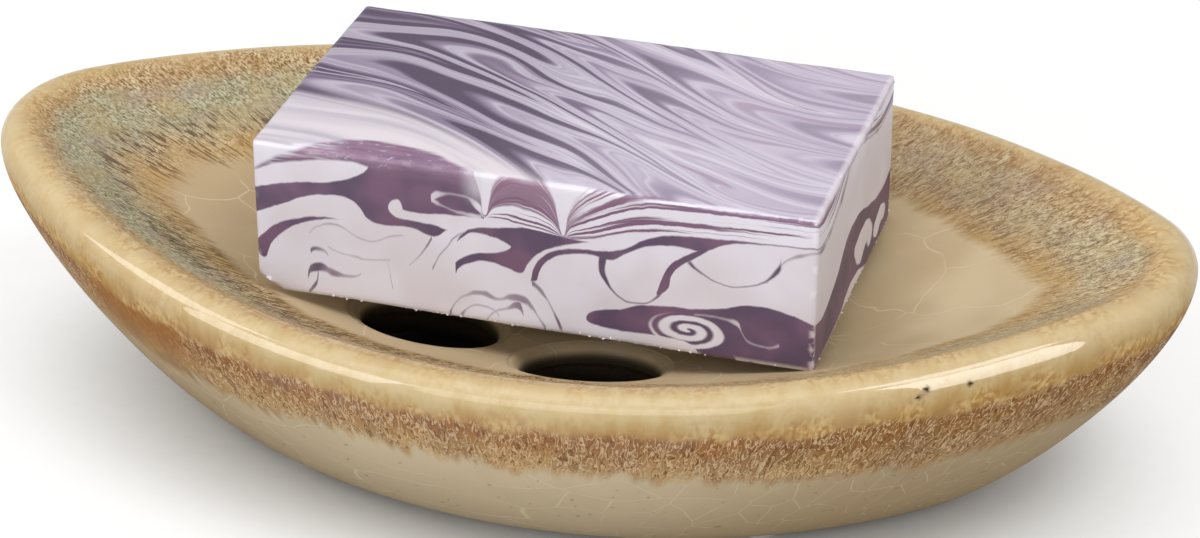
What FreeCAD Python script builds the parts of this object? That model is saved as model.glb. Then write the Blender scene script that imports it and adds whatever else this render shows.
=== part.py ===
import FreeCAD, Part
import math
import os

# Boat-shaped stoneware soap dish with a drained bowl, a hollow foot, four soft pads and a bar of soap.
# Millimetres, +X along the dish, +Z up, the pads stand on Z = 0.

# Dish outline at the widest line, seen from above
dish_length = 180.0
dish_width = 105.5
dish_tip_radius = 22.5

# Heights of the rim above the foot of the dish
tip_rim_height = 38.0
side_rim_height = 32.5

# Outside wall, from the flat foot out to the widest line
foot_length = 120.0
foot_width = 70.5
foot_tip_radius = 21.5
wall_flare_share = 0.25
wall_upright_share = 0.3

# Rounded lip, up from the widest line to the crest and over into the bowl
lip_outer_inset = 3.0
lip_outer_rise = 3.0
lip_inner_inset = 3.0
lip_inner_drop = 0.9
lip_level_run = 0.8
lip_blend_share = 0.017
quarter_arc_share = 0.5523

# Bowl, a shallow floor that rises with the square of the way out
bowl_floor_height = 16.0
bowl_flat_free_share = 0.9

# Hollow foot under the bowl
floor_thickness = 6.5
skirt_thickness = 7.5
skirt_straight_height = 4.0
hollow_wall_share = 0.5
hollow_roof_share = 0.72

# Drain holes on one ring round the middle
drain_hole_count = 5
drain_ring_radius = 23.5
drain_hole_radius = 9.8
drain_first_angle_deg = 219.0
drain_lip_radius = 2.5
drain_lip_web_share = 0.45
drain_cut_depth = 7.2
drain_search_share = 1.1

# Soft pads under the foot
pad_radius = 3.5
pad_thickness = 1.5
pad_edge_radius = 0.5
pad_along = 34.0

# Bar of soap lying in the bowl
bar_length = 82.5
bar_width = 47.0
bar_height = 24.0
bar_edge_radius = 1.6
bar_clearance = 0.3

# Points taken on each half tip and on each long side of an outline
points_per_half_tip = 4
points_per_side = 16


class Ring:
    # One level outline: half length, half width, tip radius, and its heights at the sides and at the tips
    def __init__(self, half_length, half_width, tip_radius, at_sides, at_tips):
        self.half_length = half_length
        self.half_width = half_width
        self.tip_radius = tip_radius
        self.at_sides = at_sides
        self.at_tips = at_tips

    def inset(self, amount):
        return Ring(self.half_length - amount, self.half_width - amount, self.tip_radius - amount,
                    self.at_sides, self.at_tips)

    def scaled(self, share):
        return Ring(self.half_length * share, self.half_width * share, self.tip_radius * share,
                    self.at_sides, self.at_tips)

    def raised(self, amount):
        return self.at_heights(self.at_sides + amount, self.at_tips + amount)

    def at_heights(self, at_sides, at_tips):
        return Ring(self.half_length, self.half_width, self.tip_radius, at_sides, at_tips)

    def level(self):
        return self.at_heights(self.at_sides, self.at_sides)

    def towards(self, other, share):
        pairs = zip(vars(self).values(), vars(other).values())
        return Ring(*[own + (far - own) * share for own, far in pairs])

    def side_arc(self):
        # Radius of the long side, and how far its centre lies beyond the middle line
        run = self.half_length - self.tip_radius
        rise = self.half_width - self.tip_radius
        radius = (run ** 2 + self.half_width ** 2 - self.tip_radius ** 2) / (2 * rise)
        return radius, radius - self.half_width

    def points(self):
        # Four tangent arcs, two long sides and two tips, starting at the tip on the -X end
        radius, centre = self.side_arc()
        run = self.half_length - self.tip_radius
        turn = math.atan2(run, centre)
        tip_turn = math.pi / 2 - turn
        flat = []
        for i in range(points_per_half_tip):
            angle = tip_turn * i / points_per_half_tip
            flat.append((-run - self.tip_radius * math.cos(angle), -self.tip_radius * math.sin(angle)))
        for i in range(points_per_side):
            angle = turn * (2 * i / points_per_side - 1)
            flat.append((radius * math.sin(angle), centre - radius * math.cos(angle)))
        for i in range(points_per_half_tip):
            angle = tip_turn * (1 - i / points_per_half_tip)
            flat.append((run + self.tip_radius * math.cos(angle), -self.tip_radius * math.sin(angle)))
        flat += [(-x, -y) for x, y in flat]
        points = []
        for x, y in flat:
            height = self.at_sides + (self.at_tips - self.at_sides) * (x / self.half_length) ** 2
            points.append(FreeCAD.Vector(x, y, pad_thickness + height))
        return points

    def curve(self):
        # Every ring is divided in the same shares, so that rings can be joined pole by pole
        curve = Part.BSplineCurve()
        curve.interpolate(Points=self.points(), PeriodicFlag=True, Parameters=shared_parameters)
        return curve

    def face(self):
        return Part.Face(Part.Wire([self.curve().toShape()]))


def shares_round(points):
    steps = [(points[(i + 1) % len(points)] - points[i]).Length for i in range(len(points))]
    shares = [0.0]
    for step in steps:
        shares.append(shares[-1] + step / sum(steps))
    return shares


def band(rings):
    # A smooth band that leaves the first ring, is drawn towards the middle ones and ends on the last
    curves = [ring.curve() for ring in rings]
    columns = [list(column) for column in zip(*[curve.getPoles() for curve in curves])]
    surface = Part.BSplineSurface()
    surface.buildFromPolesMultsKnots(columns, curves[0].getMultiplicities(), [len(rings), len(rings)],
                                     curves[0].getKnots(), [0.0, 1.0], True, False, 3, len(rings) - 1)
    return surface.toShape()


def closed_solid(faces):
    shell = Part.makeShell(faces)
    shell.sewShape()
    solid = Part.makeSolid(shell)
    if solid.Volume < 0:
        solid.reverse()
    return solid


# Main rings of the dish
foot = Ring(foot_length / 2, foot_width / 2, foot_tip_radius, 0.0, 0.0)
widest = Ring(dish_length / 2, dish_width / 2, dish_tip_radius,
              side_rim_height - lip_outer_rise, tip_rim_height - lip_outer_rise)
crest = widest.inset(lip_outer_inset).raised(lip_outer_rise)
bowl_edge = crest.inset(lip_inner_inset).raised(-lip_inner_drop)
bowl_depth = bowl_edge.at_sides - bowl_floor_height
bowl_tip_rise = bowl_edge.at_tips - bowl_edge.at_sides
shared_parameters = shares_round(bowl_edge.points())

# The drain lips fit on the web between two holes, and the flat of the floor stays clear of them
drain_web = 2 * drain_ring_radius * math.sin(math.pi / drain_hole_count) - 2 * drain_hole_radius
drain_lip = min(drain_lip_radius, drain_web * drain_lip_web_share)
bowl_flat_half = (drain_ring_radius - drain_hole_radius - drain_lip) * bowl_flat_free_share
bowl_flat_share = bowl_flat_half / bowl_edge.half_length

# Outside wall, leaving the foot outwards and reaching the widest line upright
flared = foot.towards(widest, wall_flare_share).at_heights(0.0, 0.0)
upright_share = 1 - wall_upright_share
upright = widest.at_heights(widest.at_sides * upright_share, widest.at_tips * upright_share)
wall_rings = [foot, flared, upright, widest]


def bowl_rings(outer_share, inner_share):
    # A band of the bowl between two shares of its edge, as the four rings that steer it
    rings = []
    for inner in range(4):
        picks = [inner_share] * inner + [outer_share] * (3 - inner)
        way = sum(picks) / 3
        square = (picks[0] * picks[1] + picks[1] * picks[2] + picks[2] * picks[0]) / 3
        cube = picks[0] * picks[1] * picks[2]
        at_sides = bowl_floor_height + bowl_depth * square
        rings.append(bowl_edge.scaled(way).at_heights(at_sides, at_sides + bowl_tip_rise * cube))
    return rings


def bowl_height(x, y):
    # Height of the bowl over a place beside the middle, reached from the long side
    radius, centre = bowl_edge.side_arc()
    square = radius ** 2 - centre ** 2
    half = centre * abs(y)
    share = (half + math.sqrt(half ** 2 + square * (x ** 2 + y ** 2))) / square
    along = x / (bowl_edge.half_length * share)
    return bowl_floor_height + bowl_depth * share ** 2 + bowl_tip_rise * share ** 3 * along ** 2


def make_skin():
    # Foot, outside wall, lip and bowl as one closed skin
    arc_up = widest.raised(lip_outer_rise * quarter_arc_share)
    arc_in = crest.inset(-lip_outer_inset * quarter_arc_share)
    level_in = crest.inset(lip_level_run)
    slope_at_sides = 2 * bowl_depth
    slope_at_tips = 2 * bowl_depth + 3 * bowl_tip_rise
    slope_up = bowl_edge.scaled(1 + lip_blend_share).at_heights(
        bowl_edge.at_sides + slope_at_sides * lip_blend_share,
        bowl_edge.at_tips + slope_at_tips * lip_blend_share)
    bowl = bowl_rings(1.0, bowl_flat_share)
    bowl[-1] = bowl[-1].level()
    faces = [foot.face(), band(wall_rings), band([widest, arc_up, arc_in, crest]),
             band([crest, level_in, slope_up, bowl_edge]), band(bowl), bowl[-1].face()]
    return closed_solid(faces)


def make_hollow():
    # The space in the foot: up inside the skirt, round the corner and in along the underside of the bowl
    row = [ring.level().inset(skirt_thickness) for ring in wall_rings]
    mouth = row[0]
    while len(row) > 1:
        row = [near.towards(far, hollow_wall_share) for near, far in zip(row, row[1:])]
    skirt = [mouth, mouth.raised(skirt_straight_height), row[0]]
    roof = [ring.level().raised(-floor_thickness) for ring in bowl_rings(hollow_roof_share, bowl_flat_share)]
    corner = skirt[-1].at_heights(roof[0].at_sides, roof[0].at_sides)
    faces = [skirt[0].face(), band(skirt), band([skirt[-1], corner, roof[0]]), band(roof), roof[-1].face()]
    return closed_solid(faces)


def drain_centres():
    centres = []
    for i in range(drain_hole_count):
        angle = math.radians(drain_first_angle_deg + 360 * i / drain_hole_count)
        centres.append((drain_ring_radius * math.cos(angle), drain_ring_radius * math.sin(angle)))
    return centres


def make_dish():
    body = make_skin().cut(make_hollow())
    for x, y in drain_centres():
        start = FreeCAD.Vector(x, y, pad_thickness + bowl_floor_height - drain_cut_depth)
        body = body.cut(Part.makeCylinder(drain_hole_radius, tip_rim_height, start))
    body = body.Solids[0]
    lips = []
    for edge in body.Edges:
        middle = edge.BoundBox.Center
        for x, y in drain_centres():
            round_hole = math.dist((x, y), (middle.x, middle.y)) < drain_hole_radius * drain_search_share
            upper = middle.z > pad_thickness + bowl_height(x, y) - floor_thickness / 2
            if round_hole and upper and edge.BoundBox.DiagonalLength > drain_hole_radius:
                lips.append(edge)
    return body.makeFillet(drain_lip, lips).Solids[0]


def make_pad(x, y):
    pad = Part.makeCylinder(pad_radius, pad_thickness, FreeCAD.Vector(x, y, 0))
    lower = [edge for edge in pad.Edges if edge.BoundBox.ZMax < pad_edge_radius]
    return pad.makeFillet(pad_edge_radius, lower).Solids[0]


def pad_across():
    # Middle of the foot rim at the chosen distance along the dish
    middle = foot.inset(skirt_thickness / 2)
    radius, centre = middle.side_arc()
    return math.sqrt(radius ** 2 - pad_along ** 2) - centre


def make_bar():
    # The bar lies on its four rounded lower corners, a hair above the bowl
    corner_x = bar_length / 2 - bar_edge_radius
    corner_y = bar_width / 2 - bar_edge_radius
    under = bowl_height(corner_x, corner_y)
    slope_x = (bowl_height(corner_x + bar_edge_radius, corner_y) - under) / bar_edge_radius
    slope_y = (bowl_height(corner_x, corner_y + bar_edge_radius) - under) / bar_edge_radius
    lean = math.sqrt(1 + slope_x ** 2 + slope_y ** 2)
    seat = under + (bar_edge_radius + bar_clearance) * lean - bar_edge_radius
    low = FreeCAD.Vector(-bar_length / 2, -bar_width / 2, pad_thickness + seat)
    bar = Part.makeBox(bar_length, bar_width, bar_height, low)
    return bar.makeFillet(bar_edge_radius, bar.Edges).Solids[0]


os.makedirs("parts", exist_ok=True)
across = pad_across()
make_dish().exportStep("parts/stoneware_dish.step")
make_bar().exportStep("parts/soap_bar.step")
make_pad(-pad_along, -across).exportStep("parts/foot_pad_front_left.step")
make_pad(pad_along, -across).exportStep("parts/foot_pad_front_right.step")
make_pad(-pad_along, across).exportStep("parts/foot_pad_back_left.step")
make_pad(pad_along, across).exportStep("parts/foot_pad_back_right.step")
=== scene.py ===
# %% [markdown]
# # A glazed soap dish and its bar of soap
# The real dish looks like one piece of stoneware in the shape of a boat, dipped in a running glaze. A bar
# of marbled soap lies loose in it. The soft pads under its foot are a guess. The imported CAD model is
# loaded first. Every piece here keeps to its sizes and places, and nothing of it is moved.

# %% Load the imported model
import math
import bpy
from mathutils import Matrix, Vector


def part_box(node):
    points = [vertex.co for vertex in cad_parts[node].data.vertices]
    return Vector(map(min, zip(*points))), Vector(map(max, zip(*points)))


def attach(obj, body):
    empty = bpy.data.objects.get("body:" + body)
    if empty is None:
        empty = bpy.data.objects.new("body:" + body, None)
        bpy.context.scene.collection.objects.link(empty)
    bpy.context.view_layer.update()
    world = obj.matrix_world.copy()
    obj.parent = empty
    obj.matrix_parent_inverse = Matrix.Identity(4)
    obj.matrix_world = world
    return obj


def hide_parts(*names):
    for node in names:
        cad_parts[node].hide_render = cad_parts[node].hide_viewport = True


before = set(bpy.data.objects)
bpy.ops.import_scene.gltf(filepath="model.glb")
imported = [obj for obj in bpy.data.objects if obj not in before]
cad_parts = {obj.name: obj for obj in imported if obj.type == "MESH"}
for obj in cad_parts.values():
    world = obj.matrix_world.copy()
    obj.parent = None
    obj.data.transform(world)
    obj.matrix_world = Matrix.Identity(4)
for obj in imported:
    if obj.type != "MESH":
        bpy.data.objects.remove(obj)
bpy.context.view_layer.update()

from types import SimpleNamespace

import bpy
from mathutils import Vector

mm = 0.001

# %% [markdown]
# ## The camera
# A picture is easiest to match when the camera comes first. The photo fits a camera above the front
# right with a long lens: the far rim is hardly smaller than the near one. The lens is written in the
# photo's own pixels and turned into millimetres on Blender's sensor.

# %% Camera at the photo's angle
photo_width_pixels = 1200
focal_length_pixels = 3505
sensor_width = 36.0
camera_azimuth = math.radians(17.0)
camera_elevation = math.radians(29.55)
camera_distance = 528 * mm
camera_target = Vector((0.1, 10.0, 18.4)) * mm


def direction(azimuth, elevation):
    """Away from the dish, turned to the right from straight in front and raised."""
    across = math.cos(elevation)
    return Vector((math.sin(azimuth) * across, -math.cos(azimuth) * across, math.sin(elevation)))


camera_data = bpy.data.cameras.new("photo_camera")
camera_data.sensor_width = sensor_width
camera_data.lens = focal_length_pixels / photo_width_pixels * sensor_width
camera = bpy.data.objects.new("photo_camera", camera_data)
towards_camera = direction(camera_azimuth, camera_elevation)
camera.location = camera_target + towards_camera * camera_distance
camera.rotation_euler = (-towards_camera).to_track_quat("-Z", "Y").to_euler()
bpy.context.scene.collection.objects.link(camera)
bpy.context.scene.camera = camera
print("camera lens", round(camera_data.lens, 1), "mm at", [round(v, 3) for v in camera.location])

# %% [markdown]
# ## Sums in node trees
# Both the shape of the dish and its glaze are long sums. Written as nodes by hand they would fill pages,
# so one small class wraps a socket: `a * 2 + 1` on it adds two Math nodes, and `node()` adds any other
# kind. The same class serves geometry trees and materials, because both know the Math node.


# %% A socket that can be reckoned with
def find(sockets, key):
    if isinstance(key, int):
        return sockets[key]
    return next(socket for socket in sockets if key in (socket.identifier, socket.name))


class Wire:
    """An output in a node tree. Sums on it add Math nodes, and node() adds any other node."""

    def __init__(self, tree, socket=None):
        self.tree = tree
        self.socket = socket

    def node(self, kind, settings, sockets, output=0):
        made = self.tree.nodes.new(kind)
        for name, value in settings.items():
            if name == "stops":
                set_stops(made.color_ramp.elements, value)
            elif name == "spots":
                set_spots(made.mapping, value)
            else:
                setattr(made, name, value)
        for key, value in sockets.items():
            socket = find(made.inputs, key)
            for one in value if isinstance(value, list) else [value]:
                if isinstance(one, Wire):
                    self.tree.links.new(one.socket, socket)
                else:
                    socket.default_value = one
        return Wire(self.tree, find(made.outputs, output))

    def also(self, output):
        return Wire(self.tree, find(self.socket.node.outputs, output))

    def math(self, operation, *terms):
        return self.node("ShaderNodeMath", {"operation": operation}, dict(enumerate(terms)))

    def rising(self, low, high):
        """0 at low, 1 at high and smooth between them. With the larger number first it falls."""
        return self.node("ShaderNodeMapRange", {"interpolation_type": "SMOOTHSTEP"},
                         {"Value": self, "From Min": low, "From Max": high})

    def parts(self):
        x = self.node("ShaderNodeSeparateXYZ", {}, {"Vector": self})
        return x, x.also("Y"), x.also("Z")

    def vector(self, x, y, z):
        return self.node("ShaderNodeCombineXYZ", {}, {"X": x, "Y": y, "Z": z})

    def times(self, amount):
        """A vector made longer or shorter."""
        return self.node("ShaderNodeVectorMath", {"operation": "SCALE"}, {0: self, "Scale": amount}, "Vector")

    def vector_math(self, operation, *terms):
        output = "Value" if operation in ("LENGTH", "DISTANCE", "DOT_PRODUCT") else "Vector"
        return self.node("ShaderNodeVectorMath", {"operation": operation}, dict(enumerate(terms)), output)


def set_stops(elements, stops):
    while len(elements) < len(stops):
        elements.new(1.0)
    for element, (where, colour) in zip(elements, stops):
        element.position = where
        element.color = colour


def set_spots(mapping, spots):
    points = mapping.curves[0].points
    while len(points) < len(spots):
        points.new(0.5, 0.5)
    for point, spot in zip(points, spots):
        point.location = spot
    mapping.extend = "HORIZONTAL"
    mapping.update()


print("sockets can be wired")

# %% [markdown]
# Python calls a method such as `__add__` for every `+`. All of them do the same thing with another Math
# node, so a loop hangs them on the class. The reflected ones serve sums in which a plain number comes
# first.

# %% Signs and words for the Math node
sums = {
    "__add__": "ADD", "__sub__": "SUBTRACT", "__mul__": "MULTIPLY", "__truediv__": "DIVIDE",
    "__pow__": "POWER", "__lt__": "LESS_THAN", "__gt__": "GREATER_THAN", "__abs__": "ABSOLUTE",
    "least": "MINIMUM", "most": "MAXIMUM", "sine": "SINE", "cosine": "COSINE", "root": "SQRT"}
reflected_sums = {"__radd__": "ADD", "__rsub__": "SUBTRACT", "__rmul__": "MULTIPLY"}


def wire_first(operation):
    return lambda wire, *others: wire.math(operation, wire, *others)


def wire_last(operation):
    return lambda wire, other: wire.math(operation, other, wire)


for sign, operation in sums.items():
    setattr(Wire, sign, wire_first(operation))
for sign, operation in reflected_sums.items():
    setattr(Wire, sign, wire_last(operation))
print("sums on sockets:", *sums.values())

# %% [markdown]
# ## The dish as a rule
# Seen from above, every level of the dish is the same kind of outline: two long arcs joined by two round
# tips. Only five numbers change from level to level: half length, half width, tip radius, and the heights
# at the sides and at the tips, because the rim dips along its sides. So the dish needs no modelling by
# hand. Each band of its skin is a plain grid, bent by a Geometry Nodes tree onto outlines that slide
# along a profile.


# %% One level outline
def mixed(share, near, far):
    """A number or a wire between two others."""
    wires = [one for one in (share, near, far) if isinstance(one, Wire)]
    if not wires:
        return near + (far - near) * share
    return wires[0].node("ShaderNodeMix", {"data_type": "FLOAT"},
                         {"Factor_Float": share, "A_Float": near, "B_Float": far}, "Result_Float")


class Outline:
    """Four tangent arcs, two sides and two tips, with heights at the sides and at the tips."""

    def __init__(self, half_length, half_width, tip_radius, at_sides, at_tips):
        self.half_length = half_length
        self.half_width = half_width
        self.tip_radius = tip_radius
        self.at_sides = at_sides
        self.at_tips = at_tips

    def inset(self, amount):
        return Outline(self.half_length - amount, self.half_width - amount, self.tip_radius - amount,
                       self.at_sides, self.at_tips)

    def scaled(self, share):
        return Outline(self.half_length * share, self.half_width * share, self.tip_radius * share,
                       self.at_sides, self.at_tips)

    def at_heights(self, at_sides, at_tips):
        return Outline(self.half_length, self.half_width, self.tip_radius, at_sides, at_tips)

    def raised(self, amount):
        return self.at_heights(self.at_sides + amount, self.at_tips + amount)

    def towards(self, other, share):
        pairs = zip(vars(self).values(), vars(other).values())
        return Outline(*[mixed(share, near, far) for near, far in pairs])

    def side_arc(self):
        """Radius of the long side, and how far its centre lies behind the middle line."""
        run = self.half_length - self.tip_radius
        squares = run * run + self.half_width * self.half_width - self.tip_radius * self.tip_radius
        radius = squares / ((self.half_width - self.tip_radius) * 2)
        return radius, radius - self.half_width

    def place(self, way):
        return way.node("GeometryNodeGroup", {"node_tree": outline_point}, {**vars(self), "way": way})


def drawn(outlines, share):
    """The outline at a share of the way along a profile that the outlines steer, as on a Bezier curve."""
    while len(outlines) > 1:
        outlines = [near.towards(far, share) for near, far in zip(outlines, outlines[1:])]
    return outlines[0]


print("outlines are ready")

# %% [markdown]
# The point itself is reckoned from the way round: a quarter of the dish is enough, because the other
# three are its mirror images. That sum is needed for every band, so it becomes a node group, made once.

# %% Point on an outline
tip_columns_share = 0.2


def new_group(name, inputs, output_kind):
    tree = bpy.data.node_groups.new(name, "GeometryNodeTree")
    for one in inputs:
        tree.interface.new_socket(one, in_out="INPUT", socket_type="NodeSocketFloat")
    tree.interface.new_socket("Result", in_out="OUTPUT", socket_type=output_kind)
    group_input = tree.nodes.new("NodeGroupInput")
    return Wire(tree), SimpleNamespace(**{one: Wire(tree, group_input.outputs[one]) for one in inputs})


def end_group(result):
    output = result.tree.nodes.new("NodeGroupOutput")
    result.tree.links.new(result.socket, output.inputs[0])
    return result.tree


def outline_point_group():
    names = ["half_length", "half_width", "tip_radius", "at_sides", "at_tips", "way"]
    start, given = new_group("outline_point", names, "NodeSocketVector")
    way = given.way
    outline = Outline(given.half_length, given.half_width, given.tip_radius, given.at_sides, given.at_tips)
    quarter = way.math("PINGPONG", way * 4, 1.0)
    sign_x = way.math("SIGN", (way * math.tau).cosine())
    sign_y = way.math("SIGN", (way * math.tau).sine())
    run = outline.half_length - outline.tip_radius
    side_radius, behind = outline.side_arc()
    tip_turn = math.pi / 2 - way.math("ARCTAN2", run, behind)
    along_tip = (quarter / tip_columns_share).least(1)
    along_side = ((quarter - tip_columns_share) / (1 - tip_columns_share)).most(0)
    turn = tip_turn * along_tip + (math.pi / 2 - tip_turn) * along_side
    on_tip = quarter < tip_columns_share
    radius = side_radius + (outline.tip_radius - side_radius) * on_tip
    x = run * on_tip + radius * turn.cosine()
    y = radius * turn.sine() - behind * (1 - on_tip)
    height = outline.at_sides + (outline.at_tips - outline.at_sides) * (x / outline.half_length) ** 2
    return end_group(start.vector(x * sign_x, y * sign_y, height))


outline_point = outline_point_group()
print("outline_point has", len(outline_point.nodes), "nodes")

# %% [markdown]
# ## Sizes of the dish
# The overall box comes from the CAD node. The smaller sizes are the potter's: how thick the lip is, how
# deep the bowl, how wide the drain holes. Each becomes a named input of the tree, so that it can be
# changed there.

# %% Sizes of the dish
dish_low, dish_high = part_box("stoneware_dish")
dish_sizes = {
    "dish_length": dish_high.x - dish_low.x,
    "dish_width": dish_high.y - dish_low.y,
    "dish_tip_radius": 22.5 * mm,
    "tip_rim_height": dish_high.z - dish_low.z,
    "rim_dip": 5.5 * mm,
    "foot_level": dish_low.z,
    "foot_length": 120 * mm,
    "foot_width": 70.5 * mm,
    "foot_tip_radius": 21.5 * mm,
    "lip_round": 3.0 * mm,
    "lip_inner_drop": 0.9 * mm,
    "lip_level_run": 0.8 * mm,
    "floor_height": 16 * mm,
    "floor_thickness": 6.5 * mm,
    "skirt_thickness": 7.5 * mm,
    "skirt_straight": 4 * mm,
    "drain_ring_radius": 23.5 * mm,
    "drain_radius": 9.8 * mm,
    "drain_lip": 2.5 * mm,
    "hand_wobble": 0.35 * mm,
}
drain_count = 5
drain_first_angle = math.radians(219)
wall_flare_share = 0.25
wall_upright_share = 0.3
quarter_arc_share = 0.5523
lip_blend_share = 0.017
hollow_wall_share = 0.5
hollow_roof_share = 0.72
print("dish", [round(v / mm, 1) for v in dish_high - dish_low], "mm")

# %% [markdown]
# A potter would draw half a section of the dish, and so does this step, with outlines in place of points:
# the foot, the widest line, the crest of the rim and the edge of the bowl follow from the sizes, and a
# few more steer the curves between them.


# %% Outlines that steer the dish
def dish_outlines(size):
    half = 0.5
    foot = Outline(size.foot_length * half, size.foot_width * half, size.foot_tip_radius, 0.0, 0.0)
    side_height = size.tip_rim_height - size.rim_dip
    widest = Outline(size.dish_length * half, size.dish_width * half, size.dish_tip_radius,
                     side_height - size.lip_round, size.tip_rim_height - size.lip_round)
    flared = foot.towards(widest, wall_flare_share).at_heights(foot.at_sides, foot.at_tips)
    upright = widest.at_heights(widest.at_sides * (1 - wall_upright_share),
                                widest.at_tips * (1 - wall_upright_share))
    crest = widest.inset(size.lip_round).raised(size.lip_round)
    bowl_edge = crest.inset(size.lip_round).raised(size.lip_inner_drop * -1)
    return SimpleNamespace(foot=foot, flared=flared, upright=upright, widest=widest, crest=crest,
                           bowl_edge=bowl_edge, depth=bowl_edge.at_sides - size.floor_height,
                           tip_rise=bowl_edge.at_tips - bowl_edge.at_sides)


def bowl_level(line, size, share):
    at_sides = size.floor_height + line.depth * share * share
    return line.bowl_edge.scaled(share).at_heights(at_sides, at_sides + line.tip_rise * share * share * share)


def roof_level(line, size, share):
    height = size.floor_height + line.depth * share * share - size.floor_thickness
    return line.bowl_edge.scaled(share).at_heights(height, height)


print("the outlines of the dish are ready")

# %% [markdown]
# The section is then walked once, from the middle of the bowl over the rim, down the wall, under the foot
# and up to the roof of the hollow. Where the slope turns sharply, a new band starts, so that a row of
# points lies on every edge.

# %% Profile of the dish
skin_rows = SimpleNamespace(bowl=72, inner_lip=12, outer_lip=12, wall=40, foot=4, skirt=10, corner=8, roof=32)
ran_in = -1
ran_out = 1
unglazed = 0


def dish_profile(line, size):
    """Bands of the skin. Each has its rows, the way that the glaze ran there and its outline at any share."""
    steep_sides = line.depth * 2
    steep_tips = steep_sides + line.tip_rise * 3
    slope_up = line.bowl_edge.scaled(1 + lip_blend_share).at_heights(
        line.bowl_edge.at_sides + steep_sides * lip_blend_share,
        line.bowl_edge.at_tips + steep_tips * lip_blend_share)
    inner_lip = [line.bowl_edge, slope_up, line.crest.inset(size.lip_level_run), line.crest]
    outer_lip = [line.crest, line.crest.inset(size.lip_round * -quarter_arc_share),
                 line.widest.raised(size.lip_round * quarter_arc_share), line.widest]
    wall = [line.widest, line.upright, line.flared, line.foot]
    mouth = line.foot.inset(size.skirt_thickness)
    inner_wall = [one.at_heights(one.at_sides, one.at_sides).inset(size.skirt_thickness) for one in wall]
    shoulder = drawn(inner_wall, hollow_wall_share)
    skirt = [mouth, mouth.raised(size.skirt_straight), shoulder]
    roof_edge = roof_level(line, size, hollow_roof_share)
    corner = [shoulder, shoulder.at_heights(roof_edge.at_sides, roof_edge.at_sides), roof_edge]
    return [
        (skin_rows.bowl, ran_in, lambda share: bowl_level(line, size, share)),
        (skin_rows.inner_lip, ran_in, lambda share: drawn(inner_lip, share)),
        (skin_rows.outer_lip, ran_out, lambda share: drawn(outer_lip, share)),
        (skin_rows.wall, ran_out, lambda share: drawn(wall, share)),
        (skin_rows.foot, unglazed, lambda share: drawn([line.foot, mouth], share)),
        (skin_rows.skirt, unglazed, lambda share: drawn(skirt, share)),
        (skin_rows.corner, unglazed, lambda share: drawn(corner, share)),
        (skin_rows.roof, unglazed, lambda share: roof_level(line, size, (1 - share) * hollow_roof_share)),
    ]


print(sum(vars(skin_rows).values()), "rows in", len(vars(skin_rows)), "bands")

# %% [markdown]
# ## Bending grids into the skin
# A grid's two directions become the way round the dish and the way along the profile. Beside its place,
# each point keeps where on the rim its glaze came from and how far it has run from there. The finish
# reads that later, so that streaks follow the slope without any seam. First come short names for the
# nodes that every shape here needs.

# %% Helpers for shapes
merge_distance = 0.002 * mm


def position(wire):
    return wire.node("GeometryNodeInputPosition", {}, {})


def unit_grid(start, columns, rows):
    """A grid from -0.5 to 0.5 both ways. Gives the grid, and the ways along both sides from 0 to 1."""
    grid = start.node("GeometryNodeMeshGrid", {}, {
        "Size X": 1.0, "Size Y": 1.0, "Vertices X": columns + 1, "Vertices Y": rows + 1})
    x, y, _ = position(start).parts()
    return grid, x + 0.5, y + 0.5


def placed(geometry, **where):
    """Puts each point at a Position, or moves it by an Offset."""
    return geometry.node("GeometryNodeSetPosition", {}, {"Geometry": geometry, **where})


def carried(geometry, **where):
    """Moves the whole by a Translation or turns it by a Rotation."""
    return geometry.node("GeometryNodeTransform", {}, {"Geometry": geometry, **where})


def joined(start, pieces):
    return start.node("GeometryNodeJoinGeometry", {}, {0: pieces})


def merged(geometry):
    return geometry.node("GeometryNodeMergeByDistance", {},
                         {"Geometry": geometry, "Distance": merge_distance})


def realized(geometry):
    return geometry.node("GeometryNodeRealizeInstances", {}, {"Geometry": geometry})


def store(geometry, kind, name, value):
    return geometry.node("GeometryNodeStoreNamedAttribute", {"data_type": kind, "domain": "POINT"},
                         {"Geometry": geometry, "Name": name, "Value": value})


print("helpers for shapes are ready")

# %% [markdown]
# Each band starts as a grid and is joined to the next where their edges meet. The underside has no glaze,
# so its points keep one fixed number, larger than any real run.

# %% Skin of the dish
columns_round = 400
bare_clay_run = 0.2


def skin_band(start, line, rows, side, outline_at):
    grid, way, share = unit_grid(start, columns_round, rows)
    spot = outline_at(share).place(way)
    rim = line.crest.place(way)
    rim_x, rim_y, _ = rim.parts()
    drop = start.vector_math("DISTANCE", spot, rim) * side if side else bare_clay_run
    grid = store(grid, "FLOAT_VECTOR", "glaze_run", start.vector(rim_x, rim_y, drop))
    return placed(grid, Position=spot)


def dish_skin(start, size, line):
    bands = [skin_band(start, line, *one) for one in dish_profile(line, size)]
    return start.node("GeometryNodeFlipFaces", {}, {0: merged(joined(start, bands))})


print("the skin has", columns_round, "columns")

# %% [markdown]
# ## Drain holes
# The holes look cut in soft clay, with edges that were wiped round. A cutter with a flared top, repeated
# on a ring and lifted so that its flare lies on the bowl everywhere, takes them out of the skin in one
# Boolean.

# %% Cutters for the drain holes
cutter_rows = 16
cutter_columns = 96
cutter_depth = 14 * mm
cutter_rise = 3 * mm
cutter_spread = 0.6 * mm
flare_end = math.radians(80)


def bowl_height(x, y, size, line):
    """Height of the bowl over a place near its middle."""
    radius, behind = line.bowl_edge.side_arc()
    square = radius * radius - behind * behind
    half = behind * abs(y)
    share = (half + (half * half + square * (x * x + y * y)).root()) / square
    along = x / (line.bowl_edge.half_length * share)
    return size.floor_height + line.depth * share ** 2 + line.tip_rise * share ** 3 * along * along


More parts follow.
